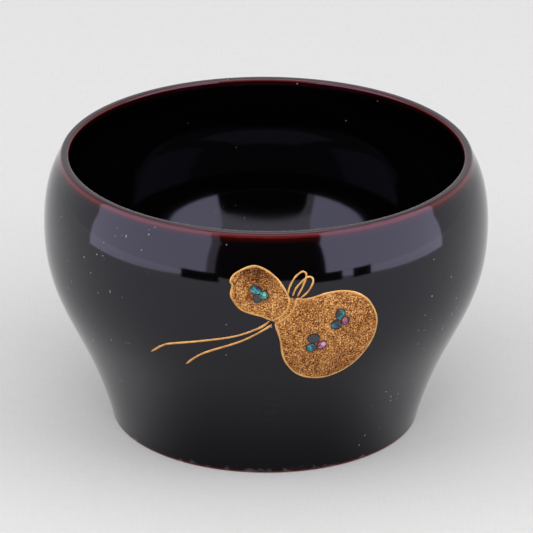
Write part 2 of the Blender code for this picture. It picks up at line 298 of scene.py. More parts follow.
def spline(points):
    """A line that bends evenly through the points (natural cubic, by distance)."""
    points = np.array(points)
    along = np.concatenate(([0.0], np.cumsum(np.hypot(*np.diff(points, axis=0).T))))
    gaps = np.diff(along)
    count = len(points)
    system = np.eye(count)
    right = np.zeros((count, 2))
    for i in range(1, count - 1):
        system[i, i - 1:i + 2] = gaps[i - 1], 2 * (gaps[i - 1] + gaps[i]), gaps[i]
        slopes = (points[i + 1] - points[i]) / gaps[i], (points[i] - points[i - 1]) / gaps[i - 1]
        right[i] = 6 * (slopes[0] - slopes[1])
    bend = np.linalg.solve(system, right)
    line = []
    for i, gap in enumerate(gaps):
        steps = max(LEAST_STEPS, round(gap / SAMPLE))
        for t in np.arange(steps) / steps:
            s = 1 - t
            line.append(s * points[i] + t * points[i + 1]
                        + ((s ** 3 - s) * bend[i] + (t ** 3 - t) * bend[i + 1]) * gap ** 2 / 6)
    return line + [points[-1]]


def stretches(points):
    """The section cut at its sharp corners."""
    kept = [points[0]]
    for point in points[1:]:
        if math.dist(point, kept[-1]) > CLOSEST:
            kept.append(point)
    pieces = [[kept[0]]]
    for before, here, after in zip(kept, kept[1:], kept[2:]):
        pieces[-1].append(here)
        arriving = Vector(here) - Vector(before)
        if arriving.angle(Vector(after) - Vector(here)) > CORNER:
            pieces.append([here])
    pieces[-1].append(kept[-1])
    return pieces


def smooth_section(points):
    """The smooth half section, from the middle of the floor over the lip to the foot."""
    # Past the axis the line goes on mirrored, so the middle of the floor has no cone
    mirrored = [(-radius, height) for radius, height in points[2:0:-1]]
    line = []
    for piece in stretches(mirrored + points):
        if len(piece) == 2:
            steps = max(1, round(math.dist(*piece) / SAMPLE))
            smooth = [np.array(piece[0]) + (np.array(piece[1]) - piece[0]) * i / steps
                      for i in range(steps + 1)]
        else:
            smooth = spline(piece)
        line += smooth[1:] if line else smooth
    middle = min(range(len(line)), key=lambda i: (abs(line[i][0]) > ON_AXIS, i))
    return [(max(float(r), 0.0), max(float(z), 0.0)) for r, z in line[middle:]]


section = smooth_section(face_line)
BELLY_RADIUS, BELLY_HEIGHT = max(section)
LIP_TOP = max(z for r, z in section)
print("smooth section:", len(section), "points, widest", round(BELLY_RADIUS / MM, 2), "mm at",
      round(BELLY_HEIGHT / MM, 2), "mm up")

# %% [markdown]
# ## The lacquer
#
# One continuous skin stands for the three lacquer coats of the solid model, because on the real
# bowl they run into each other without a seam. The half section is spun about the bowl's axis.

# %% From a bmesh to a piece of the bowl
in_object = bpy.data.collections.new("lacquer_bowl")
bpy.context.scene.collection.children.link(in_object)


def as_object(name, shape, finish, collection):
    """The bmesh as a new object with one finish."""
    mesh = bpy.data.meshes.new(name)
    shape.to_mesh(mesh)
    shape.free()
    mesh.materials.append(finish)
    item = bpy.data.objects.new(name, mesh)
    collection.objects.link(item)
    return item


def new_piece(name, shape, finish, smooth=True):
    """The bmesh as a piece of the bowl, with its faces pointing out."""
    bmesh.ops.recalc_face_normals(shape, faces=shape.faces)
    for piece_face in shape.faces:
        piece_face.smooth = smooth
    return as_object(name, shape, finish, in_object)


print("pieces go into the collection", in_object.name)

# %% A turned shape
TURNS = 192                      # steps round the bowl
SAME_POINT = 0.002 * MM


def spun(profile, steps):
    """The half section turned once about the upright axis."""
    shape = bmesh.new()
    verts = [shape.verts.new((radius, 0.0, height)) for radius, height in profile]
    edges = [shape.edges.new(pair) for pair in zip(verts, verts[1:])]
    bmesh.ops.spin(shape, geom=verts + edges, cent=(0, 0, 0), axis=(0, 0, 1), angle=math.tau,
                   steps=steps, use_merge=True)
    bmesh.ops.remove_doubles(shape, verts=shape.verts, dist=SAME_POINT)
    return shape


print("the skin has", TURNS, "steps round and", len(section), "points from floor to foot")

# %% [markdown]
# The lacquer's colour is almost nothing: what is seen is what it mirrors. Red shows where the
# dark coats are thin, so the finish measures the distance to three circles, the two edges of
# the lip and the edge of the foot, and lets the red through near them. A slow noise moves the
# borders in and out, as a brush does.

# %% Red where the lacquer is thin
LIP_DEPTH = 2.2 * MM             # the rounded part of the lip, down from its top
FOOT_RADIUS = 0.0645
DEEP_BROWN = (0.0012, 0.0008, 0.0010)
EDGE_RED = (0.110, 0.0110, 0.0105)
GLOW_RED = (0.024, 0.0012, 0.0012)


def nearest_on_section(near):
    return min(section, key=lambda p: math.dist(p, near))


lip_points = [p for p in section if p[1] > LIP_TOP - LIP_DEPTH]
INNER_EDGE = nearest_on_section((min(lip_points)[0] + 0.2 * MM, LIP_TOP - 0.6 * MM))
OUTER_EDGE = nearest_on_section((max(lip_points)[0] - 0.4 * MM, LIP_TOP - 1.3 * MM))
# Dust lies along the lip's inner edge here; at the front its grey is also a painted highlight
DUST_AND_HIGHLIGHT_EDGE = nearest_on_section((min(lip_points)[0] + 0.7 * MM, LIP_TOP - 0.1 * MM))
FOOT_EDGE = nearest_on_section((FOOT_RADIUS, 0.0004))


def off_circle(finish, circle):
    """The distance to a circle round the axis, given by its radius and height."""
    across = finish.axis_distance() - circle[0]
    up = finish.parts_of(finish.place())[2] - circle[1]
    return (across * across + up * up) ** 0.5


def thin_lacquer(lacquer):
    """The lacquer's own colour: a red line along each edge, and a soft glow beside it."""
    place = lacquer.place()
    wander = lacquer.noise(place, 260.0, 2.0) - 0.5
    worn = lacquer.noise(place, 38.0, 2.0)
    off_inner, off_outer, off_foot = (off_circle(lacquer, circle)
                                      for circle in (INNER_EDGE, OUTER_EDGE, FOOT_EDGE))
    inner = (off_inner + wander * (0.3 * MM)).step(0.80 * MM, 0.10 * MM)
    outer = (off_outer + wander * (0.6 * MM)).step(1.5 * MM, 0.2 * MM)
    foot = (off_foot + wander * (0.5 * MM)).step(1.2 * MM, 0.3 * MM)
    line = inner.at_least(outer * outer).at_least(foot) * (worn * 0.5 + 0.75)
    glow = (off_inner.step(4.5 * MM, 0.6 * MM) * 0.7).at_least(
        off_outer.step(4.2 * MM, 0.6 * MM))
    color = lacquer.blend(glow * glow, DEEP_BROWN, GLOW_RED)
    return lacquer.blend(line, color, EDGE_RED)


for edge, circle in (("inner", INNER_EDGE), ("outer", OUTER_EDGE), ("foot", FOOT_EDGE)):
    print(edge, "edge:", [round(c / MM, 1) for c in circle], "mm from the axis and up")

# %% [markdown]
# An old bowl is never clean. Specks and short strokes are cells of a fine pattern: only a few
# cells get one, and more of them where hands and table tops have been. Dust lies along the
# front of the lip, and there its grey is also a painted highlight on the lip's inner edge. The
# foot is scuffed, and low on the wall the grain of the wood just shows through.

# %% Dust, a painted highlight, knocks and haze
# The grey of specks, strokes and scuffs, and along the front of the lip also a painted highlight
DUST_AND_HIGHLIGHT_GREY = (0.42, 0.41, 0.42)
SPECK_CELLS = 380.0
STROKE_CELLS = 340.0
# Where it has been handled and knocked most, and how far round each place
HANDLED = [((-0.061, -0.064, 0.098), 0.030), ((-0.078, -0.050, 0.080), 0.020),
           ((0.072, -0.056, 0.066), 0.028), ((0.052, -0.055, 0.022), 0.026)]
GRAIN_SWIRLS = [((-0.042, -0.064, 0.046), 0.013), ((0.003, -0.073, 0.036), 0.018)]


def specks_and_strokes(lacquer):
    place = lacquer.place()
    handled = lacquer.noise(place, 22.0, 2.0).step(0.50, 0.80) * 0.5
    for middle, reach in HANDLED:
        handled = handled.at_least(lacquer.away_from(middle).step(reach, reach * 0.2))
    cell, chance, size = lacquer.cells(place, SPECK_CELLS)
    speck = cell.step(0.17, 0.05) * chance.math("GREATER_THAN", 0.985 - handled * 0.36)
    drawn_out = lacquer.node("Mapping", inputs={"Vector": place, "Scale": (1.0, 1.0, 0.30),
                                                "Rotation": (0.5, 0.35, 0.2)})
    cell, stroke_chance, stroke_size = lacquer.cells(drawn_out, STROKE_CELLS)
    stroke = cell.step(0.13, 0.05) * stroke_chance.math("GREATER_THAN", 0.995 - handled * 0.50)
    return (speck * (size * 0.6 + 0.25)).at_least(stroke * (stroke_size * 0.5 + 0.15))


def lip_dust_highlight_and_scuffs(lacquer):
    place = lacquer.place()
    _, y, z = lacquer.parts_of(place)
    fine = lacquer.noise(place, 760.0, 3.0, 0.65)
    # Dust along the inner edge of the lip, only at the front, where its grey is also a painted
    # highlight
    dust_and_highlight = off_circle(lacquer, DUST_AND_HIGHLIGHT_EDGE).step(0.95 * MM, 0.25 * MM)
    dust_and_highlight = dust_and_highlight * (fine.step(0.47, 0.62) * 0.40 + 0.04)
    dust_and_highlight = dust_and_highlight * y.step(-10.0 * MM, -50.0 * MM)
    rubbed = lacquer.noise(place, 320.0, 3.0).step(0.52, 0.72)
    return dust_and_highlight, z.step(3.5 * MM, 0.5 * MM) * rubbed * 0.16


def grain_rings(lacquer):
    uneven = lacquer.noise(lacquer.place(), 70.0, 1.0) * (7.0 * MM)
    rings = 0.0
    for middle, reach in GRAIN_SWIRLS:
        away = lacquer.away_from(middle)
        swirl = ((away + uneven) * 2000.0).math("SINE").step(0.1, 1.0)
        rings = swirl * away.step(reach, reach * 0.3) * 0.006 + rings
    return rings


print("handled in", len(HANDLED), "places, grain shows in", len(GRAIN_SWIRLS))


# %% The lacquer skin
def lacquer_finish():
    lacquer = Finish("dark_lacquer")
    lip_dust_and_highlight, scuffs = lip_dust_highlight_and_scuffs(lacquer)
    # Specks, strokes and scuffs are wear; the grey on the lip is also a painted highlight
    dirt_and_highlight = specks_and_strokes(lacquer).at_least(lip_dust_and_highlight).at_least(scuffs)
    color = lacquer.blend(dirt_and_highlight + grain_rings(lacquer), thin_lacquer(lacquer), DUST_AND_HIGHLIGHT_GREY)
    wave = lacquer.noise(lacquer.place(), 28.0, 1.0)
    return lacquer.finish_as(Base_Color=color, Roughness=dirt_and_highlight * 0.5 + 0.07, IOR=1.47,
                             Specular_Tint=(0.87, 0.85, 1.0, 1.0),
                             Normal=lacquer.bump(wave, 0.04 * MM))


lacquer_skin = new_piece("lacquer_skin", spun(section, TURNS), lacquer_finish())
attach(lacquer_skin, "root")
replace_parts(lacquer_skin, *TURNED)
print("lacquer skin:", len(lacquer_skin.data.polygons), "faces")

# %% [markdown]
# ## The drawing on the wall
#
# The gourd is laid out on the unrolled wall, as a lacquerer would draw it on paper: each
# point says how far right and how far up it is from the middle of the gourd's waist, in
# millimetres. A function then lays such a point on the curved wall.

# %% From the drawing to the wall
WAIST_ANGLE = math.radians(4.9)  # to the right of the front
WAIST_HEIGHT = BELLY_HEIGHT + 1.0 * MM
WALL_BOTTOM = 2.0 * MM
WALL_TOP = LIP_TOP - 2.5 * MM
WALL_LEAST_RADIUS = 0.065

below_lip = section[section.index(OUTER_EDGE) + 1:]
outer_wall = sorted((p for p in below_lip
                     if WALL_BOTTOM < p[1] < WALL_TOP and p[0] > WALL_LEAST_RADIUS),
                    key=lambda p: p[1])
wall_heights = [z for r, z in outer_wall]
wall_radii = [r for r, z in outer_wall]
wall_leans = np.arctan2(-np.gradient(wall_radii), np.gradient(wall_heights))


def on_wall(right, up, lift=0.0):
    """Where a point of the drawing lies on the outer wall, lifted straight off it."""
    height = WAIST_HEIGHT + up * MM
    radius = float(np.interp(height, wall_heights, wall_radii))
    lean = float(np.interp(height, wall_heights, wall_leans))
    angle = WAIST_ANGLE + right * MM / BELLY_RADIUS
    flat = Vector((math.sin(angle), -math.cos(angle), 0.0))
    straight_out = flat * math.cos(lean) + Vector((0.0, 0.0, math.sin(lean)))
    return flat * radius + Vector((0.0, 0.0, height)) + straight_out * lift


SMALL_BULB = [(1.6, 5.2), (-4.0, 13.7), (-12.0, 18.0), (-19.6, 15.4), (-22.3, 11.8), (-21.5, 9.8),
              (-21.8, 5.0), (-17.5, -0.4), (-9.7, -2.9), (-5.2, -4.9)]
LARGE_BULB = [(4.6, 4.6), (9.0, 4.0), (19.0, 6.0), (28.0, 5.0), (35.0, 0.2), (39.3, -9.0),
              (37.8, -19.0), (30.5, -29.4), (19.0, -34.5), (7.5, -32.5), (0.4, -24.5),
              (-1.9, -13.5), (-4.0, -6.5)]
UPPER_TURN = [(1.6, 5.2), (1.2, 0.8), (-1.4, -2.7), (-5.2, -4.9)]
LOWER_TURN = [(4.6, 4.6), (3.4, 0.0), (0.5, -3.5), (-4.0, -6.5)]
LEFT_LOOP = [(1.0, 6.4), (1.8, 9.6), (3.8, 13.2), (6.5, 15.4), (8.2, 15.3), (8.6, 13.4),
             (7.0, 9.2), (4.9, 5.4)]
RIGHT_LOOP = [(3.0, 5.7), (4.3, 8.8), (6.6, 11.4), (9.0, 13.2), (10.9, 13.0), (11.4, 11.0),
              (9.4, 7.4), (6.3, 4.7)]
UPPER_TAIL = [(-6.4, -5.2), (-10.4, -8.3), (-20.0, -12.5), (-33.5, -16.1), (-48.0, -20.0),
              (-53.0, -22.2), (-59.2, -26.8)]
LOWER_TAIL = [(-5.5, -6.7), (-8.4, -9.0), (-17.5, -14.6), (-30.5, -20.5), (-37.0, -24.3),
              (-42.8, -29.4)]
VEIN = [(-4.7, 3.6), (-5.2, 0.0), (-5.4, -3.4)]


def through(points, steps=8):
    """A smooth line through the points of a drawing."""
    line = [Vector(p) for p in points]
    line = [line[0] * 2 - line[1]] + line + [line[-1] * 2 - line[-2]]
    path = []
    for a, b, c, d in zip(line, line[1:], line[2:], line[3:]):
        for t in np.arange(steps) / steps:
            path.append((b * 2 + (c - a) * t + (a * 2 - b * 5 + c * 4 - d) * t ** 2
                         + (b * 3 - a - c * 3 + d) * t ** 3) / 2)
    return path + [line[-2]]


print("wall leans from", round(math.degrees(min(wall_leans)), 1), "to",
      round(math.degrees(max(wall_leans)), 1), "degrees")

# %% [markdown]
# ### Raised gold lines
#
# A raised line is drawn in lacquer with a fine brush, dusted with gold and burnished. It stands
# a fifth of a millimetre off the wall with a rounded back, a little thicker where the brush
# slows down. A curve with a round bevel, sunk so that only its back stands out, has that shape.

# %% The raised gold's finish
def raised_gold_finish():
    gold = Finish("raised_gold")
    place = gold.place()
    grain = gold.noise(place, 5200.0, 2.0)
    tone = gold.noise(place, 240.0, 2.0)
    color = gold.ramp(grain * 0.55 + tone * 0.45,
                      (0.36, (0.44, 0.20, 0.055)), (0.50, (0.72, 0.38, 0.115)),
                      (0.66, (0.90, 0.56, 0.21)))
    return gold.finish_as(Base_Color=color, Metallic=0.75, Roughness=grain * 0.3 + 0.30,
                          Normal=gold.bump(grain, 0.05 * MM, 0.6))


raised_gold = raised_gold_finish()
print("raised gold:", len(raised_gold.node_tree.nodes), "nodes")

# %% Draw the raised lines
LINE_WIDTH = 0.85 * MM
LINE_HEIGHT = 0.20 * MM
SWELL = 0.12                     # how much the brush's pressure varies
TAPER = 0.55                     # thickness at a stroke's very end
TAPERED = 3                      # points from the end over which it grows to full


def raised_line(name, strokes, width=LINE_WIDTH):
    """Strokes of raised gold as one piece. Each stroke is a list of points of the drawing."""
    bevel = ((width / 2) ** 2 + LINE_HEIGHT ** 2) / (2 * LINE_HEIGHT)
    curve = bpy.data.curves.new(name, "CURVE")
    curve.dimensions = "3D"
    curve.bevel_depth = bevel
    curve.bevel_resolution = 4
    curve.use_fill_caps = True
    for stroke in strokes:
        path = through(stroke)
        spline_points = curve.splines.new("POLY").points
        spline_points.add(len(path) - 1)
        for i, (point, (right, up)) in enumerate(zip(spline_points, path)):
            to_end = min(i, len(path) - 1 - i)
            size = 1.0 + SWELL * math.sin(i * 0.7 + right * 0.3)
            size *= min(1.0, TAPER + (1.0 - TAPER) * to_end / TAPERED)
            point.co = (*on_wall(right, up, LINE_HEIGHT - bevel), 1.0)
            point.radius = 1.0 + (size - 1.0) * (LINE_HEIGHT / bevel) * 1.6
    drawn = bpy.data.objects.new(name, curve)
    in_object.objects.link(drawn)
    shape = bmesh.new()
    shape.from_mesh(bpy.data.meshes.new_from_object(drawn))
    bpy.data.objects.remove(drawn)
    bmesh.ops.remove_doubles(shape, verts=shape.verts, dist=SAME_POINT / 2)
    piece = new_piece(name, shape, raised_gold)
    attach(piece, "root")
    return piece


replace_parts(raised_line("waist_upper_turn", [UPPER_TURN]), "waist_cord_upper")
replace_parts(raised_line("waist_lower_turn", [LOWER_TURN]), "waist_cord_lower")
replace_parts(raised_line("small_bulb_line", [SMALL_BULB]), "small_bulb_outline")
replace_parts(raised_line("large_bulb_line", [LARGE_BULB]), "large_bulb_outline")
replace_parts(raised_line("bow_line", [LEFT_LOOP, RIGHT_LOOP], width=0.75 * MM), "cord_bow")
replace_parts(raised_line("upper_tail_line", [UPPER_TAIL], width=0.9 * MM), "cord_tail_upper")
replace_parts(raised_line("lower_tail_line", [LOWER_TAIL], width=0.9 * MM), "cord_tail_lower")
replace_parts(raised_line("vein_line", [VEIN], width=0.5 * MM), "gourd_vein")
print("raised lines: 8 pieces")

# %% [markdown]
# ### Sprinkled gold
#
# Inside its outline the gourd is wet lacquer onto which gold powder was sprinkled through a
# tube. It is grainy, thinner in places, and it stops short of the flakes of shell. A fine grid
# laid on the wall, trimmed to the outline and roughened grain by grain, catches light as it does.

# %% The sprinkled gold's finish
# Each flake: how far right and up, its length and width in millimetres, its tilt in degrees
CHIPS = [
    [(-12.1, 8.3, 4.4, 3.2, -8), (-8.8, 6.2, 3.4, 3.2, 0), (-11.3, 4.9, 3.3, 3.2, 0)],
    [(11.2, -18.3, 4.2, 3.3, 12), (15.5, -17.5, 3.7, 3.1, 30), (11.9, -14.1, 4.6, 4.0, 0)],
    [(22.8, -4.1, 4.4, 3.6, 70), (21.3, -8.6, 4.2, 3.7, 20), (25.0, -7.2, 2.6, 3.2, 0)],
]


def sprinkled_gold_finish():
    gold = Finish("gold_powder")
    place = gold.place()
    grain = gold.noise(place, 1700.0, 2.0, 0.6)
    patch = gold.noise(place, 420.0, 2.0)
    shade = gold.noise(place, 70.0, 1.0)
    # Darker at the small bulb's top, and darkened with age round the flakes, most
    # of all round the first
    thin = gold.away_from(on_wall(-12.5, 16.5)).step(9.5 * MM, 2.0 * MM)
    aged = gold.away_from(on_wall(*CHIPS[0][0][:2])).step(3.6 * MM, 1.6 * MM)
    for chip in sum(CHIPS, [])[1:]:
        aged = aged.at_least(gold.away_from(on_wall(*chip[:2])).step(3.4 * MM, 1.7 * MM))
    color = gold.ramp(grain * 0.72 + patch * 0.18 + shade * 0.10 - thin * 0.085,
                      (0.375, (0.040, 0.011, 0.003)), (0.455, (0.23, 0.075, 0.015)),
                      (0.54, (0.53, 0.215, 0.052)), (0.66, (1.0, 0.62, 0.24)))
    color = gold.blend(aged * 0.62, color, (0.030, 0.014, 0.020))
    return gold.finish_as(Base_Color=color, Metallic=0.7, Roughness=0.42,
                          Normal=gold.bump(grain, 0.12 * MM, 0.8))


sprinkled_gold = sprinkled_gold_finish()
print("sprinkled gold:", len(sprinkled_gold.node_tree.nodes), "nodes")

# %% Inside an outline, and inside a flake
def inside(outline, right, up):
    """Whether a point of the drawing is inside a closed outline."""
    crossings = 0
    for a, b in zip(outline, outline[1:] + outline[:1]):
        if (a.y > up) != (b.y > up):
            crossings += right < a.x + (b.x - a.x) * (up - a.y) / (b.y - a.y)
    return crossings % 2 == 1


def in_chip(chip, right, up, grow):
    """Whether a point of the drawing is on a flake, or nearer to its rim than grow."""
    middle_right, middle_up, length, width, tilt = chip
    lean = math.radians(tilt)
    dx = right - middle_right
    dy = up - middle_up
    a = (dx * math.cos(lean) + dy * math.sin(lean)) / (length / 2 + grow)
    b = (dy * math.cos(lean) - dx * math.sin(lean)) / (width / 2 + grow)
    return a * a + b * b < 1.0


print("flakes in the drawing:", sum(len(group) for group in CHIPS))

# %% Lay the sprinkled gold
POWDER = 0.06 * MM               # how thick the powder lies
GRAIN = 0.04 * MM                # how far grains stand out
SUNK = 0.15 * MM                 # a piece on the wall goes this far into the lacquer
MESH_STEP = 0.33                 # of the drawing's grid, in millimetres
HALO = 0.12                      # bare lacquer left round each flake, in millimetres
rng = random.Random(7)


def close_downwards(shape):
    """Gives an open patch an underside and returns the corners of that underside."""
    lower = bmesh.ops.extrude_face_region(shape, geom=list(shape.faces), use_keep_orig=True)
    return {item for item in lower["geom"] if isinstance(item, bmesh.types.BMVert)}


def sprinkled_field(name, outline, chips, node):
    """The powder inside an outline, bare round its flakes, as one piece."""
    low_right = min(p.x for p in outline)
    high_right = max(p.x for p in outline)
    low_up = min(p.y for p in outline)
    high_up = max(p.y for p in outline)
    across = math.ceil((high_right - low_right) / MESH_STEP)
    tall = math.ceil((high_up - low_up) / MESH_STEP)
    shape = bmesh.new()
    bmesh.ops.create_grid(shape, x_segments=across, y_segments=tall, size=0.5)
    bmesh.ops.scale(shape, verts=shape.verts, vec=(high_right - low_right, high_up - low_up, 1.0))
    bmesh.ops.translate(shape, verts=shape.verts, vec=((low_right + high_right) / 2,
                                                       (low_up + high_up) / 2, 0.0))
    bare = [v for v in shape.verts if not inside(outline, v.co.x, v.co.y)
            or any(in_chip(chip, v.co.x, v.co.y, HALO * rng.uniform(0.6, 1.5)) for chip in chips)]
    bmesh.ops.delete(shape, geom=bare, context="VERTS")
    loose = [v for v in shape.verts if not v.link_faces]
    bmesh.ops.delete(shape, geom=loose, context="VERTS")
    sunk = close_downwards(shape)
    for vert in shape.verts:
        lift = -SUNK if vert in sunk else POWDER + rng.uniform(-GRAIN, GRAIN)
        vert.co = on_wall(vert.co.x, vert.co.y, lift)
    piece = new_piece(name, shape, sprinkled_gold)
    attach(piece, "root")
    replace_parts(piece, node)


small_outline = through(SMALL_BULB) + through(UPPER_TURN)[-2:0:-1]
large_outline = through(LARGE_BULB) + through(LOWER_TURN)[-2:0:-1]
waist_outline = through(UPPER_TURN) + through(LOWER_TURN)[::-1]
sprinkled_field("small_bulb_powder", small_outline, CHIPS[0], "gourd_small_bulb")
sprinkled_field("large_bulb_powder", large_outline, CHIPS[1] + CHIPS[2], "gourd_large_bulb")
sprinkled_field("waist_powder", waist_outline, [], "gourd_waist")
print("sprinkled gold: 3 fields")

# %% [markdown]
# ### Flakes of shell
#
# The flakes are slivers of abalone, thin as paper and shining from underneath in blue, green and
# rose. Each is a rounded disc with an uneven rim, laid over the gap left in the powder, and its
# colours come from layers that wander across it.

# %% The shell's finishes
SHELL_TONES = {
    "shell_teal": ((0.008, 0.030, 0.085), (0.018, 0.20, 0.22), (0.10, 0.46, 0.40)),
    "shell_green": ((0.012, 0.09, 0.08), (0.040, 0.25, 0.20), (0.16, 0.50, 0.36)),
    "shell_blue": ((0.008, 0.010, 0.022), (0.028, 0.036, 0.060), (0.07, 0.13, 0.17)),
    "shell_rose": ((0.05, 0.016, 0.04), (0.34, 0.09, 0.19), (0.62, 0.30, 0.42)),
}
# Patches of another tone: how far right and up, how far round, in millimetres, and the tone
SHELL_PATCHES = {
    "shell_teal": [(-10.9, 9.7, 1.9, (0.010, 0.016, 0.10)), (-13.4, 6.8, 1.1, (0.16, 0.07, 0.10)),
                   (12.5, -18.4, 1.9, (0.035, 0.055, 0.085)),
                   (21.7, -3.9, 2.3, (0.030, 0.036, 0.042))],
    "shell_green": [(-8.5, 6.4, 0.7, (0.30, 0.50, 0.42))],
    "shell_blue": [(11.9, -14.1, 3.2, (0.040, 0.042, 0.050)), (19.5, -8.9, 1.3, (0.02, 0.16, 0.19)),
                   (-11.3, 4.7, 2.4, (0.040, 0.046, 0.050))],
    "shell_rose": [(14.1, -17.9, 1.0, (0.30, 0.012, 0.020)), (16.3, -17.0, 1.3, (0.66, 0.34, 0.56)),
                   (25.9, -7.9, 1.6, (0.26, 0.045, 0.26)),
                   (24.7, -6.8, 1.05, (0.36, 0.13, 0.035))],
}


def shell_finish(name, tones):
    shell = Finish(name)
    place = shell.place()
    layers = shell.noise(place, 520.0, 2.0, 0.5, 1.2)
    fine = shell.noise(place, 2400.0, 1.0)
    color = shell.ramp(layers * 0.8 + fine * 0.2, (0.36, tones[0]), (0.50, tones[1]),
                       (0.64, tones[2]))
    for right, up, reach, tone in SHELL_PATCHES[name]:
        near = shell.away_from(on_wall(right, up)) + (layers - 0.5) * (1.2 * MM)
        color = shell.blend(near.step(reach * MM, reach * 0.55 * MM), color, tone)
    return shell.finish_as(Base_Color=color, Metallic=0.35, Roughness=0.22, IOR=1.6,
                           Normal=shell.bump(layers, 0.10 * MM, 0.4))


shells = {name: shell_finish(name, tones) for name, tones in SHELL_TONES.items()}
print("shell finishes:", ", ".join(shells))

# %% Lay the flakes
SHELL_HEIGHT = 0.12 * MM
RIM_POINTS = 28
RIM_SLOPE = 0.25                 # width of the sloping rim, in millimetres
slot_of = {part["node"]: part["material_slot"] for part in frame["record"]["subparts"]}


def flake(name, chip, node):
    """A flake of shell: a raised middle, a sloping uneven rim and a sunk underside."""
    right, up, length, width, tilt = chip
    turn = Matrix.Rotation(math.radians(tilt), 3, "Z")
    shape = bmesh.new()
    rim = bmesh.ops.create_circle(shape, cap_ends=True, segments=RIM_POINTS, radius=1.0)["verts"]
    for vert in rim:
        vert.co *= rng.uniform(0.94, 1.03)
    bmesh.ops.scale(shape, verts=rim, vec=(length / 2, width / 2, 1.0))
    bmesh.ops.rotate(shape, verts=rim, cent=(0, 0, 0), matrix=turn)
    bmesh.ops.translate(shape, verts=rim, vec=(right, up, 0.0))
    bmesh.ops.inset_region(shape, faces=list(shape.faces), thickness=RIM_SLOPE, depth=0.0)
    lifts = {vert: POWDER if vert in rim else SHELL_HEIGHT for vert in shape.verts}
    sunk = close_downwards(shape)
    for vert in shape.verts:
        vert.co = on_wall(vert.co.x, vert.co.y, -SUNK if vert in sunk else lifts[vert])
    piece = new_piece(name, shape, shells[slot_of[node]], smooth=False)
    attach(piece, "root")
    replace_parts(piece, node)


for number, chip in enumerate(sum(CHIPS, []), start=1):
    flake(f"shell_flake_{number}", chip, f"shell_chip_{number}")
print("flakes of shell: 9")

# %% [markdown]
# ## The wood inside
#
# The turned core keeps its solid from the model. Lacquer hides it on every side, so it only needs
# the grain of a close-grained turning wood.

# %% The wood's finish
def wood_finish():
    wood = Finish("turned_wood")
    place = wood.place()
    stretched = wood.node("Mapping", inputs={"Vector": place, "Scale": (1.0, 0.12, 1.0)})
    rings = wood.node("TexWave", {"wave_type": "RINGS", "rings_direction": "Y"},
                      {"Vector": stretched, "Scale": 60.0, "Distortion": 3.0, "Detail": 3.0},
                      output="Fac")
    pores = wood.noise(stretched, 1400.0, 2.0)
    color = wood.ramp(rings * 0.7 + pores * 0.3, (0.2, (0.40, 0.25, 0.13)),
                      (0.8, (0.62, 0.44, 0.27)))
    return wood.finish_as(Base_Color=color, Roughness=pores * 0.2 + 0.5,
                          Normal=wood.bump(pores, 0.05 * MM, 0.5))


core = frame["nodes"]["wood_core"]
core.data.materials.clear()
core.data.materials.append(wood_finish())
print("wood core:", len(core.data.polygons), "faces of", core.data.materials[0].name)

# %% [markdown]
# ## The floor
#
# The bowl stands on pale woven cloth, so two fine stretched noises cross each other, one for
# each direction of thread. Far out, where less light reaches it, the floor is made paler, so
# that the lacquer mirrors no dark horizon.

# %% A pale floor
FLOOR_REACH = 12.0
PALER_FROM = 0.9
PALEST_FROM = 2.6
CLOTH_DULL = {"Roughness": 0.95, "Specular_IOR_Level": 0.1}


def floor_finish():
    pale = Finish("pale_floor")
    weave, weft = (
        pale.noise(pale.node("Mapping", inputs={"Vector": pale.place(), "Scale": stretch}), 900.0)
        for stretch in ((1.0, 0.12, 1.0), (0.12, 1.0, 1.0)))
    color = pale.ramp(weave * 0.5 + weft * 0.5, (0.36, (0.69, 0.69, 0.685)),
                      (0.64, (0.72, 0.72, 0.715)))
    far = pale.axis_distance().step(PALER_FROM, PALEST_FROM)
    return pale.finish_as(Base_Color=pale.blend(far, color, (0.95, 0.95, 0.945)), **CLOTH_DULL)


surroundings = bpy.context.scene.collection
ground = bmesh.new()
bmesh.ops.create_grid(ground, x_segments=4, y_segments=4, size=FLOOR_REACH)
floor = as_object("floor", ground, floor_finish(), surroundings)
print("the floor reaches", FLOOR_REACH, "m out")

# %% [markdown]
# ## Soft light
#
# A mirror-like bowl is only as good as what it mirrors, and what suits its reflections doesn't
# suit its shading. So the two are lit apart. The bowl mirrors a white tent that is open towards
# the viewer: a wall left and right, a strip over the opening and a roof, which are seen in
# reflections only. Three fills light the gold and the floor and are seen in no reflection.

# %% Panels, props and cards
def aim(item, place, target):
    """Puts the item at a place, with its face or its lens towards the target."""
    item.location = place
    item.rotation_euler = (Vector(place) - Vector(target)).to_track_quat("Z", "Y").to_euler()


def soft_panel(name, place, target, width, height, brightness, color, mirrored=True):
    """A rectangular light of an even brightness, seen in reflections only or in none."""
    light = bpy.data.lights.new(name, "AREA")
    light.shape = "RECTANGLE"
    light.size = width
    light.size_y = height
    light.color = color
    light.energy = brightness * math.pi * width * height
    item = bpy.data.objects.new(name, light)
    surroundings.objects.link(item)
    aim(item, place, target)
    item.visible_diffuse = not mirrored
    item.visible_glossy = mirrored


def for_reflections_only(name, shape, finish):
    """The bmesh as a prop that the bowl mirrors and nothing else notices."""
    item = as_object(name, shape, finish, surroundings)
    item.visible_camera = False
    item.visible_diffuse = False
    item.visible_shadow = False
    return item


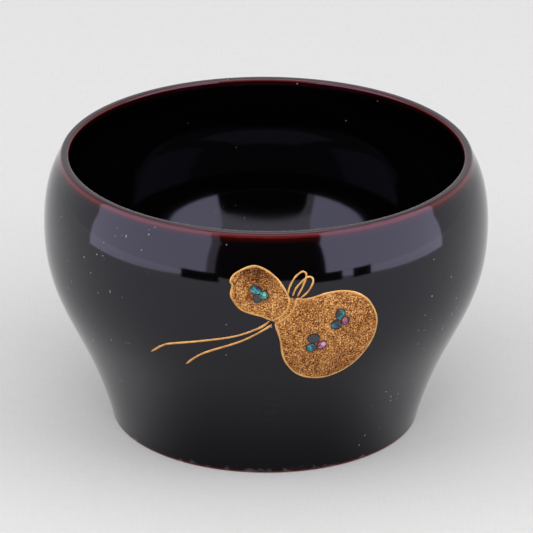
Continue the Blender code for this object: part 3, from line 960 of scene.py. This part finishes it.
def dark_card(name, place, target, width, height, corner=0.0):
    """A black card that only reflections see. Its corners may be rounded."""
    card = Finish(name).finish_as(Base_Color=(0.01, 0.01, 0.01), Roughness=1.0,
                                  Specular_IOR_Level=0.0)
    shape = bmesh.new()
    bmesh.ops.create_grid(shape, x_segments=1, y_segments=1, size=0.5)
    bmesh.ops.scale(shape, verts=shape.verts, vec=(width, height, 1.0))
    if corner:
        bmesh.ops.bevel(shape, geom=list(shape.verts), offset=corner, segments=6,
                        affect="VERTICES", profile=0.5)
    aim(for_reflections_only(name, shape, card), place, target)


print("props go into the collection", surroundings.name)

# %% Hang the tent and the fills
TENT_SIDE = 0.62                 # how far the side walls are from the bowl
TENT_FRONT = -1.12
TENT_BACK = 0.04
TENT_TOP = 1.25
SIDE_TOP = 0.86
OPENING_TOP = 0.79
SIDE_BLUE = (0.77, 0.75, 1.0)
FILL_WHITE = (1.0, 1.0, 0.99)
side_depth = TENT_BACK - TENT_FRONT
side_middle = TENT_FRONT + side_depth / 2
front_height = TENT_TOP - OPENING_TOP
front_middle = OPENING_TOP + front_height / 2

for name, side, brightness in (("left_wall", -TENT_SIDE, 1.9), ("right_wall", TENT_SIDE, 2.1)):
    soft_panel(name, (side, side_middle, SIDE_TOP / 2), (0.0, side_middle, SIDE_TOP / 2),
               side_depth, SIDE_TOP, brightness, SIDE_BLUE)
soft_panel("over_the_opening", (0.0, TENT_FRONT, front_middle), (0.0, 0.0, front_middle),
           2 * TENT_SIDE, front_height, 0.65, (0.95, 0.92, 1.0))
soft_panel("roof", (0.0, 0.05, TENT_TOP), (0.0, 0.05, 0.0), 1.0, 1.0, 2.7, (0.98, 0.95, 1.0))
for name, side in (("left_fill", -1.5), ("right_fill", 1.5)):
    soft_panel(name, (side, -0.5, 0.9), (0.0, -0.2, 0.0), 1.6, 1.2, 1.8, FILL_WHITE,
               mirrored=False)
soft_panel("front_fill", (0.0, -1.9, 1.3), (0.0, 0.0, 0.0), 1.8, 1.0, 2.0, FILL_WHITE,
           mirrored=False)

# %% [markdown]
# The dark things in the reflections matter as much as the bright ones. The opening of the tent
# is a black card, low black bars beside it make a dark strip low down, and a disc just over the
# floor, with the bowl's shadow painted on it, shows the wall a floor that darkens towards the
# foot. None of them is seen directly or casts a shadow.

# %% The opening and the low dark bars
OPENING_MIDDLE = 0.058           # a little to the right of the bowl
OPENING_WIDTH = 1.16
BAR_HEIGHT = 0.09
BARS = [((-0.478, -0.565), (-0.276, -0.687)), ((0.269, -0.689), (0.437, -0.597)),
        ((0.490, -0.554), (0.573, -0.468))]

dark_card("opening", (OPENING_MIDDLE, TENT_FRONT - 0.02, OPENING_TOP / 2),
          (OPENING_MIDDLE, 0.0, OPENING_TOP / 2), OPENING_WIDTH, OPENING_TOP, corner=0.12)
# Low black bars that the bowl mirrors as a dark strip low in front
for number, (start, end) in enumerate(BARS, start=1):
    middle = ((start[0] + end[0]) / 2, (start[1] + end[1]) / 2, BAR_HEIGHT / 2)
    dark_card(f"cloth_weight_{number}", middle, (0.0, 0.0, BAR_HEIGHT / 2),
              math.dist(start, end), BAR_HEIGHT)
print("the opening and", len(BARS), "weights")

# %% The floor with a painted shadow, as the wall mirrors it
SHADE_REACH = 0.35
SHADE_PALEST = (0.705, 0.705, 0.70)


def shaded_ground(reach):
    """The floor's painted shadow, as the wall above mirrors it: dark at the foot, pale further out.
    """
    shaded = Finish("shaded_ground")
    out = shaded.axis_distance()
    color = shaded.ramp(out / reach, (0.21, (0.27, 0.27, 0.27)), (0.29, (0.50, 0.50, 0.495)),
                        (0.42, (0.64, 0.64, 0.635)), (0.62, SHADE_PALEST))
    # The painted shadow lies only in front of the bowl; to the sides the disc stays pale
    y = shaded.parts_of(shaded.place())[1]
    in_front = (y * -1.0 / out).step(0.45, 0.95)
    shaded.finish_as(Base_Color=shaded.blend(in_front, SHADE_PALEST, color), **CLOTH_DULL)
    shape = bmesh.new()
    bmesh.ops.create_circle(shape, cap_ends=True, segments=64, radius=reach)
    item = for_reflections_only("shaded_ground", shape, shaded.material)
    item.location = (0.0, 0.0, 0.5 * MM)


shaded_ground(SHADE_REACH)
print("shaded ground:", SHADE_REACH, "m round the bowl")

# %% Pale light all round
world = bpy.data.worlds.new("pale_surroundings")
bpy.context.scene.world = world
world.use_nodes = True
sky = world.node_tree.nodes["Background"]
sky.inputs["Color"].default_value = (0.985, 0.975, 1.0, 1.0)
sky.inputs["Strength"].default_value = 0.84
bpy.context.scene.view_settings.view_transform = "Standard"
print("light all round:", round(sky.inputs["Strength"].default_value, 2))

# %% [markdown]
# ## The camera
#
# A long lens from two metres away keeps the bowl's near and far side alike in size. It looks
# down steeply enough to see both the drawing and the inside.

# %% The camera
DISTANCE = 2.232
ELEVATION = math.radians(23.68)
AIM_HEIGHT = 0.0652
ROLL = math.radians(0.357)

lens = bpy.data.cameras.new("camera")
lens.sensor_width = 36.0
lens.lens = 358.5
lens.shift_x = 0.00125
camera = bpy.data.objects.new("camera", lens)
surroundings.objects.link(camera)
target = Vector((0.0, 0.0, AIM_HEIGHT))
aim(camera, target + DISTANCE * Vector((0.0, -math.cos(ELEVATION), math.sin(ELEVATION))), target)
roll = Matrix.Rotation(ROLL, 3, "Z")
camera.rotation_euler = (camera.rotation_euler.to_matrix() @ roll).to_euler()
bpy.context.scene.camera = camera
print("camera:", [round(c, 3) for c in camera.location], "m, lens", lens.lens, "mm")

# %% [markdown]
# ## Bring the scene up to date

# %% Bring the scene up to date
bpy.context.view_layer.update()
